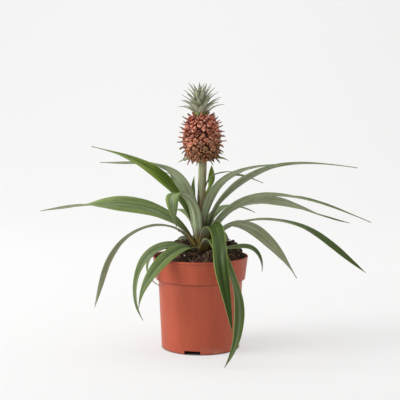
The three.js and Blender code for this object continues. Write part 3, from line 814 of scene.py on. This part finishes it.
def make_peat():
    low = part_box("soil")[0].z
    rings = [i / PEAT_RINGS for i in range(PEAT_RINGS + 1)]
    outline = [
        (SOIL_HOLE_RADIUS - 0.0005, SOIL_HOLE_FLOOR),
        (SOIL_HOLE_RADIUS - 0.0002, 0.112),
        *((mix(SOIL_HOLE_RADIUS, SOIL_EDGE_RADIUS, t), 1.0) for t in rings),
        (COLLAR_FOOT_RADIUS - POT_WALL - 0.0008, COLLAR_FOOT_HEIGHT + 0.004),
        (BODY_TOP_RADIUS - POT_WALL - 0.0006, COLLAR_FOOT_HEIGHT - 0.001),
        (FOOT_RADIUS - POT_WALL - 0.0006, 0.012),
        (FOOT_RADIUS - POT_WALL - 0.004, low),
    ]
    bm = bmesh.new()
    tone, = marks(bm, "tone")
    turned(bm, outline, PEAT_STEPS)
    for v in bm.verts:
        if v.co.z > 0.5:
            v.co.z = peat_surface(v.co.x, v.co.y)
            bits = rough(Vector((v.co.x, v.co.y, 0.3)), 0.006, 3, 3)
            v[tone] = smooth(0.15, 0.8, bits) * 0.8
    cap(bm, low, SOIL_HOLE_FLOOR)
    piece("peat_block", bm, peat_finish(), "peat", "soil")


def scatter(draw, count, clear, outer):
    """Random points on the peat, at even density: this far clear of the stem's hole, and within
    the outer radius."""
    inner = SOIL_HOLE_RADIUS + clear
    for _ in range(count):
        r = sqrt(mix(inner**2, outer**2, draw.random()))
        angle = draw.uniform(0, tau)
        x = r * cos(angle)
        y = r * sin(angle)
        yield x, y, peat_surface(x, y)


def crumb(bm, draw, centre, size, tone, fine):
    """One loose bit: a small ball, flattened, turned, and broken by moving its corners."""
    layer, = marks(bm, "tone")
    sides = [draw.uniform(*limits) for limits in ((0.7, 1.4), (0.6, 1.1), (0.4, 0.9))]
    spin = Matrix.Rotation(draw.uniform(0, tau), 4, "Z")
    spin = spin @ Matrix.Rotation(draw.uniform(-0.6, 0.6), 4, "X")
    at = Matrix.Translation(centre) @ spin @ Matrix.Diagonal((*sides, 1))
    ball = bmesh.ops.create_icosphere(bm, subdivisions=fine, radius=size, matrix=at)["verts"]
    for v in ball:
        v.co += Vector([draw.uniform(-0.22, 0.22) * size for _ in range(3)])
        v[layer] = tone


def crumbs(bm, draw, count, outer, sizes, raised, clear=0.001, rarity=1, fine=1, patchy=False):
    """Scatters loose bits on the peat, each raised by a share of its own size. The higher the
    rarity, the fewer are bright. Patchy ones lie in patches only."""
    for x, y, z in scatter(draw, count, clear, outer):
        if not patchy or rough(Vector((x, y, 0.0)), 0.014, 9) > 0.42:
            size = draw.uniform(*sizes)
            crumb(bm, draw, (x, y, z + size * raised), size, draw.random() ** rarity, fine)


def make_crumbs():
    draw = random.Random(11)
    bm = bmesh.new()
    crumbs(bm, draw, SMALL_CRUMBS, 0.0555, (0.0006, 0.0014), raised=0.2, rarity=2)
    crumbs(bm, draw, LARGE_CRUMBS, 0.053, (0.0014, 0.003), raised=-0.1, clear=0.002, rarity=3, fine=2)
    material = litter_finish("peat_crumb", (0.022, 0.011, 0.007), (0.17, 0.065, 0.035), 0.95)
    piece("peat_crumbs", bm, material, "peat")


def make_perlite():
    bm = bmesh.new()
    crumbs(bm, random.Random(5), PERLITE_GRAINS, 0.05, (0.0005, 0.0011), raised=0.4, fine=2)
    material = litter_finish("perlite", (0.55, 0.5, 0.42), (0.8, 0.78, 0.72), 0.9)
    piece("perlite_grains", bm, material, "peat")


def make_moss():
    draw = random.Random(23)
    bm = bmesh.new()
    crumbs(bm, draw, MOSS_SPOTS, 0.054, (0.0004, 0.0009), raised=0.3, clear=0.0, patchy=True)
    material = litter_finish("moss", (0.045, 0.06, 0.014), (0.16, 0.21, 0.05), 0.9)
    piece("moss_specks", bm, material, "peat")


def make_fibres():
    """Pale roots and straw that lie on the peat."""
    draw = random.Random(31)
    bm = bmesh.new()
    for x, y, _ in scatter(draw, FIBRES, 0.001, 0.052):
        length = draw.uniform(0.006, 0.02)
        heading = draw.uniform(0, tau)
        bend = draw.uniform(-1.8, 1.8)
        arch = draw.uniform(0.0, 0.0022)
        width = draw.uniform(0.00018, 0.00045)

        def shape(q, t, face):
            angle = heading + bend * t
            reach = (t - 0.5) * length
            px = x + reach * cos(angle)
            py = y + reach * sin(angle)
            kept_in = min(1.0, FIBRE_REACH / max(1e-6, hypot(px, py)))
            px *= kept_in
            py *= kept_in
            side = Vector((-sin(angle), cos(angle), 0)) * q * width * mix(1, 0.4, t)
            lift = 0.0002 + arch * sin(pi * t) + face * width * 0.7
            return Vector((px, py, peat_surface(px, py) + lift)) + side

        blade(bm, 7, 1, shape, tone=draw.random())
    material = litter_finish("root_fibre", (0.13, 0.07, 0.035), (0.48, 0.34, 0.21), 0.8)
    piece("peat_fibres", bm, material, "peat")


# ---------------- stem and leaves

def make_stem():
    """Stem and stalk in one skin, fluted a little, swelling where each stalk leaf leaves it."""
    low = STEM_LOW.z
    high = STEM_HIGH.z
    knots = [row[1] for row in LEAVES if row[0].startswith("stalk")]
    bm = bmesh.new()
    round_it, up = marks(bm, "across", "along")
    turned(bm, [(1.0, mix(low, high, i / STEM_RINGS)) for i in range(STEM_RINGS + 1)], STEM_STEPS)
    for v in bm.verts:
        angle = atan2(v.co.y, v.co.x)
        height = v.co.z
        foot = mix(0.8, 1.0, smooth(low, CONE_SHOULDER, height))
        radius = stem_radius(height) * foot
        radius *= 1 + 0.035 * sin(5 * angle + 60 * height) + 0.02 * sin(11 * angle)
        radius -= 0.00035
        radius += sum(0.0003 * exp(-((height - k) / 0.0025) ** 2) for k in knots)
        v[round_it] = angle / pi
        v[up] = (height - low) / (high - low)
        v.co.x = stem_centre(height) + radius * cos(angle)
        v.co.y = radius * sin(angle)
    cap(bm, low, high)
    piece("stem_skin", bm, stalk_finish(), "stalk", "stem")


def midrib(foot, turn, lean, roll, length, width):
    """Points and directions down a leaf's midrib, with its half width, curl and thinning."""
    stations = max(8, floor(length / STATION_STEP + 0.5))
    count = stations * STEPS_A_STATION
    radius = stem_radius(foot) + SEAT_GAP + STEM_CLEAR
    point = around_axis(radius, radians(turn[0]), foot) + Vector((stem_centre(foot), 0, 0))
    clasp = min(1.1, width * FOOT_SHARE / 2 / radius)
    rows = []
    for i in range(count + 1):
        t = i / count
        slope = radians(along(lean, t))
        heading = radians(along(turn, t))
        flat = around_axis(1, heading)
        forward = flat * cos(slope) + Vector((0, 0, sin(slope)))
        side = Vector((-flat.y, flat.x, 0))
        side.rotate(Matrix.Rotation(radians(along(roll, t)), 3, forward))
        taper = mix(FOOT_SHARE, 1, smooth(0, WIDEST_AT, t))
        if t > WIDEST_AT:
            taper = 1 - ((t - WIDEST_AT) / (1 - WIDEST_AT)) ** 2
        rows.append((
            point.copy(), side, forward.cross(side), max(LEAST_HALF_WIDTH, width * taper / 2),
            mix(clasp, 0.42, smooth(0, 0.3, t)) * mix(1, 0.5, smooth(0.6, 1, t)),
            mix(1, 0.6, smooth(0.7, 1, t)),
        ))
        point += forward * (length / count)
    return rows


def make_leaf(number, material, name, foot, length, width, fresh, waxy, turn, lean, roll):
    rows = midrib(foot, turn, lean, roll, length, width)
    last = len(rows) - 1
    draw = random.Random(100 + number)
    wave = draw.uniform(0, 50)
    seed = draw.random()
    sunk = around_axis(-LEAF_SUNK, radians(turn[0]), -0.003)

    def shape(q, t, face):
        point, side, up, half, curl, thin = rows[round(t * last)]
        point = point + sunk * smooth(0.012, 0.0, t * length)
        ripple = Vector((t * length / 0.022, q * 0.8, wave))
        half *= 1 + 0.03 * noise.noise(ripple + Vector((9, 0, 0)))
        radius = half / curl
        thick = mix(BLADE_MIDDLE, BLADE_MARGIN, abs(q) ** 1.5) * thin / 2
        lift = face * thick + 0.0006 * smooth(0.05, 0.3, t) * q * q * noise.noise(ripple) * half / 0.008
        lift -= 0.0004 * exp(-((q / 0.15) ** 2)) * (1 - 0.5 * t)
        reach = radius - lift
        fold = 0.36 * half * (abs(q) - q * q) * smooth(0.08, 0.3, t)
        point = point + side * (reach * sin(curl * q))
        return point + up * (radius - reach * cos(curl * q) + fold)

    bm = bmesh.new()
    blade(bm, last, BLADE_COLUMNS, shape, fresh=fresh, waxy=waxy, seed=seed)
    piece(f"blade_{name}", bm, material, "leaf", f"leaf_{name}")


def make_leaves():
    material = leaf_finish()
    for number, row in enumerate(LEAVES):
        make_leaf(number, material, *row)


# ---------------- fruit

def fruit_radius(t):
    return FRUIT_RADIUS * sin(pi * mix(0.1, 0.9, max(0.0, t) ** 0.94)) ** 0.46


def fruit_height(t):
    return mix(FRUIT_FOOT, FRUIT_TOP, t)


def tilt_fruit(bm):
    """Leans what stands at the fruit's foot as the fruit leans, and moves it onto the stalk."""
    foot = Vector((0, 0, FRUIT_FOOT))
    lean = Matrix.Translation(foot + Vector((stem_centre(STEM_HIGH.z), 0, 0)))
    lean = lean @ Matrix.Rotation(FRUIT_LEAN, 4, "Y") @ Matrix.Translation(-foot)
    bmesh.ops.transform(bm, matrix=lean, verts=bm.verts)


def eye_lattice():
    """Ring and column of every eye that has a bract, in crossing spirals."""
    for ring in range(1, EYE_RINGS + 1):
        for column in range(ring % 2, 2 * EYES_ROUND, 2):
            yield ring, column


def unlike_eyes():
    """How each eye differs: its shift round and up the fruit, how far it stands out, its tone."""
    draw = random.Random(3)
    eyes = {}
    for ring in range(EYE_RINGS + 1):
        for column in range(ring % 2, 2 * EYES_ROUND, 2):
            shift = (draw.uniform(-EYE_SHIFT, EYE_SHIFT), draw.uniform(-EYE_SHIFT, EYE_SHIFT))
            eyes[ring, column] = (*shift, draw.uniform(0.6, 1.25), draw.random())
    return eyes


def nearest_eyes(eyes, ring, column):
    """The eye that a place on the fruit lies in, how far it is from its middle, and from its seam."""
    found = []
    for i in range(max(0, floor(ring) - 2), min(EYE_RINGS, floor(ring) + 3) + 1):
        base = floor(column)
        for j in range(base - 3, base + 5):
            if (i + j) % 2 == 0:
                eye = eyes[i, j % (2 * EYES_ROUND)]
                wide = (column - j) * pi / EYES_ROUND * EYE_GIRTH - eye[0]
                high = (ring - i) * (FRUIT_TOP - FRUIT_FOOT) / EYE_RINGS - eye[1]
                found.append((hypot(wide, high), high, eye))
    found.sort()
    return found[0], found[1][0] - found[0][0]


def eye_relief(distance, seam, high, proud):
    """Height of an eye's skin from 0 to about 1: a swollen pad, parted by the edge of its bract."""
    reach = distance / EYE_REACH
    pad = 1 - min(1.0, reach) ** 2
    crease = exp(-(((high + 0.0004) / 0.0006) ** 2)) * 0.3 * smooth(1.0, 0.4, reach)
    lower = 0.16 * smooth(0.0004, -0.0012, high) * smooth(1.0, 0.5, reach)
    hollow = exp(-((reach / 0.22) ** 2)) * 0.16
    groove = smooth(0.0, EYE_SEAM, seam)
    return groove * proud * (0.4 + 0.5 * pad - crease + lower - hollow)


def make_fruit():
    eyes = unlike_eyes()
    bm = bmesh.new()
    seams, tone, ripe, bulge = marks(bm, "seam", "tone", "ripe", "bulge")
    turned(bm, [(1.0, i / FRUIT_RINGS) for i in range(FRUIT_RINGS + 1)], FRUIT_STEPS)
    for v in bm.verts:
        t = v.co.z
        angle = atan2(v.co.y, v.co.x)
        spot = Vector((cos(angle), sin(angle), t * 3)) * 0.02
        ring = t * EYE_RINGS
        column = (angle - ring * EYE_DRIFT) / pi * EYES_ROUND
        ring = min(EYE_RINGS, max(0.0, ring + 0.34 * rough(spot, 0.006, 8, 2)))
        column = (column + 0.4 * rough(spot, 0.006, 9, 2)) % (2 * EYES_ROUND)
        (distance, high, eye), seam = nearest_eyes(eyes, ring, column)
        relief = eye_relief(distance, seam, high, eye[2])
        relief += 0.34 * rough(spot, 0.0034, 4) + 0.22 * rough(spot, 0.0014, 6, 2)
        radius = fruit_radius(t) + EYE_RAISE * (relief - 0.45) * smooth(0.0, 0.08, t)
        v[seams] = min(1.0, seam / 0.004)
        v[tone] = eye[3]
        v[ripe] = smooth(0.02, 1.02, t + 0.3 * (eye[3] - 0.5) + 0.34 * rough(spot, 0.0042, 12, 2))
        v[bulge] = min(1.0, max(0.0, relief))
        v.co = around_axis(radius, angle, fruit_height(t))
    cap(bm, FRUIT_FOOT, FRUIT_TOP)
    tilt_fruit(bm)
    piece("fruit_body", bm, fruit_finish(), "fruit_skin", "fruit")


def spine(widths, length, rise, bend, thick, root_point, heading, tilt=0.0):
    """Placing rule of a small channelled blade that starts at root_point, goes out along heading
    and up by rise, and turns by bend on its way. Its widths run evenly from root to tip, and tilt
    raises its left side."""
    out = around_axis(1, heading)
    side = Vector((-out.y, out.x, tilt)).normalized()

    def shape(q, t, face):
        angle = rise + bend * t
        forth = length * (sin(angle) - sin(rise)) / bend
        up = length * (cos(rise) - cos(angle)) / bend
        half = along(widths, t) / 2
        normal = out * -sin(angle) + Vector((0, 0, cos(angle)))
        channel = half * 0.45 * q * q * (1 - 0.4 * t)
        wall = face * thick * mix(1, 0.35, abs(q)) * mix(1, 0.6, t) / 2
        middle = root_point + out * forth + Vector((0, 0, up))
        return middle + side * (q * half) + normal * (channel + wall)

    return shape


def make_bracts():
    """The blunt bract of every eye: it leaves the eye's middle and stands out like a finger,
    raised near the crown and hanging near the foot."""
    draw = random.Random(7)
    eyes = unlike_eyes()
    bm = bmesh.new()
    widths = (0.0048, 0.0037, 0.0031, 0.0025, 0.0012)
    for ring, column in eye_lattice():
        t = ring / EYE_RINGS
        around, above = eyes[ring, column][:2]
        heading = column / EYES_ROUND * pi + ring * EYE_DRIFT + around / FRUIT_RADIUS
        root = around_axis(fruit_radius(t) - 0.0004, heading, fruit_height(t) + above - 0.0006)
        rise = mix(-0.8, 0.5, t) + draw.uniform(-0.22, 0.22)
        bend = draw.uniform(0.15, 0.55) * (1 if t > 0.45 else -1)
        length = draw.uniform(0.0076, 0.0104) * mix(0.85, 1.0, smooth(0, 0.3, t))
        length *= mix(1.0, 0.7, smooth(0.92, 1.0, t))
        turn = heading + draw.uniform(-0.2, 0.2)
        rule = spine(widths, length, rise, bend, BRACT_THICK, root, turn)
        blade(bm, 8, 4, rule, seed=draw.random(), ripe=smooth(0.35, 0.75, t))
    tilt_fruit(bm)
    piece("fruit_bracts", bm, bract_finish(), "fruit_skin")


def make_foot_leaves(material):
    """The few longer bracts that spread from under the fruit, and the small ones that hang there."""
    draw = random.Random(8)
    bm = bmesh.new()
    widths = (0.0074, 0.0084, 0.0072, 0.0046, 0.0006)
    for i, (heading, tilt) in enumerate(((3.1, -0.3), (-0.12, 0.3), (1.6, 0.0), (4.55, 0.0))):
        root = around_axis(0.005, heading, FRUIT_FOOT + 0.001)
        length = draw.uniform(0.026, 0.028) * (1 if i < 2 else 0.6)
        rule = spine(widths, length, 0.34, -0.78, 0.0011, root, heading, tilt)
        blade(bm, 12, 6, rule, seed=0.1 * i, fresh=0.8)
    widths = (0.0036, 0.0034, 0.0024, 0.0008)
    for i in range(7):
        heading = 4.0 + i * 2.1
        root = around_axis(0.007, heading, FRUIT_FOOT + 0.0012)
        length = draw.uniform(0.007, 0.011)
        rule = spine(widths, length, -0.55, -0.65, 0.0009, root, heading)
        blade(bm, 8, 4, rule, seed=0.6, fresh=0.0)
    tilt_fruit(bm)
    piece("fruit_foot_leaves", bm, material, "crown_leaf")


def make_crown(material):
    """The tuft on the fruit: outer blades arch out low down, inner ones stand up."""
    draw = random.Random(19)
    foot = FRUIT_TOP + SEAT_GAP
    height = CROWN_TOP - foot
    bm = bmesh.new()
    core = arc((0, foot + 0.004), CROWN_CORE_RADIUS, -49, 0, 4)
    core += [(0.006, foot + 0.013), (0.001, foot + 0.02)]
    turned(bm, core, 24)
    cap(bm, core[0][1], core[-1][1])
    for i in range(CROWN_BLADES):
        t = i / (CROWN_BLADES - 1)
        heading = i * GOLDEN_ANGLE
        length = mix(0.026, height - 0.009, smooth(0.15, 1, t)) * draw.uniform(0.9, 1.06)
        root = around_axis(mix(0.0076, 0.0012, t), heading, foot + mix(0.0008, 0.011, t))
        rise = mix(0.95, 1.5, t) + draw.uniform(-0.08, 0.08)
        broad = mix(0.0096, 0.0084, t) * draw.uniform(0.9, 1.1)
        widths = (broad, broad * 0.92, broad * 0.72, broad * 0.42, 0.0005)
        bend = mix(-1.05, -0.45, t)
        rule = spine(widths, length, rise, bend, CROWN_BLADE_THICK, root, heading)
        blade(bm, 14, 6, rule, seed=draw.random())
    tilt_fruit(bm)
    piece("crown_tuft", bm, material, "crown_leaf", "crown")


# ---------------- studio

def make_floor():
    """A plain pale sweep: floor, curve and back wall, of paper that glows a little from behind,
    except under the pot."""
    bm = bmesh.new()
    curve = arc((1.3, 1.6), 1.6, -90, 0, 32)
    outline = [(-2.6, 0.0), *curve, (2.9, 3.6)]
    edge = [bm.verts.new((-PAPER_WIDTH / 2, y, z)) for y, z in outline]
    edges = [bm.edges.new(pair) for pair in zip(edge, edge[1:])]
    grown = bmesh.ops.extrude_edge_only(bm, edges=edges)["geom"]
    moved = [g for g in grown if isinstance(g, bmesh.types.BMVert)]
    bmesh.ops.translate(bm, vec=(PAPER_WIDTH, 0, 0), verts=moved)
    material, tree, shader = finish(
        "studio_paper", 0.0, Base_Color=color(0.36, 0.36, 0.36), Roughness=0.95,
        Emission_Strength=1.0,
    )
    away = put(tree, "ShaderNodeVectorMath", {"operation": "LENGTH"}, Vector=place(tree))
    clear = span(tree, away.outputs["Value"], FOOT_RADIUS - 0.001, FOOT_RADIUS + 0.0015)
    glow = blend(tree, clear, (0.0, 0.0, 0.0), (0.538, 0.533, 0.53))
    tree.links.new(glow, shader.inputs["Emission Color"])
    skin("studio_sweep", bm, material)


def softbox(name, spot, aim, size, power):
    data = bpy.data.lights.new(name, "AREA")
    data.shape = "RECTANGLE"
    data.size = size[0]
    data.size_y = size[1]
    data.energy = power
    lamp = stand(name, data)
    lamp.location = spot
    lamp.rotation_euler = (Vector(aim) - Vector(spot)).to_track_quat("-Z", "Y").to_euler()


def make_studio():
    make_floor()
    softbox("window_left", (-2.0, -0.5, 1.25), (0, 0, 0.15), (1.2, 1.2), 42.0)
    softbox("overhead", (0.0, 0.1, 2.0), (0, 0, 0.1), (2.0, 2.0), 13.0)
    softbox("wall_wash", (0.0, 0.6, 2.2), (0, 2.8, 0.9), (3.0, 0.6), 26.0)
    world = bpy.data.worlds.new("studio_world")
    world.use_nodes = True
    sky = world.node_tree.nodes["Background"]
    sky.inputs["Color"].default_value = color(1.0, 1.0, 1.0)
    sky.inputs["Strength"].default_value = 0.36
    bpy.context.scene.world = world
    bpy.context.scene.view_settings.view_transform = "Standard"


def make_camera():
    data = bpy.data.cameras.new("camera")
    data.sensor_width = FILM_WIDTH
    data.lens = LENS
    data.dof.use_dof = False
    data.clip_end = 20.0
    camera = stand("camera", data)
    camera.location = CAMERA_PLACE
    camera.rotation_euler = (radians(90 - CAMERA_PITCH), 0, 0)
    bpy.context.scene.camera = camera


# ---------------- all of it

make_camera()
make_studio()
make_pot()
make_peat()
make_crumbs()
make_perlite()
make_moss()
make_fibres()
make_stem()
make_leaves()
make_fruit()
make_bracts()
CROWN_MATERIAL = crown_finish()
make_foot_leaves(CROWN_MATERIAL)
make_crown(CROWN_MATERIAL)

bpy.context.view_layer.update()
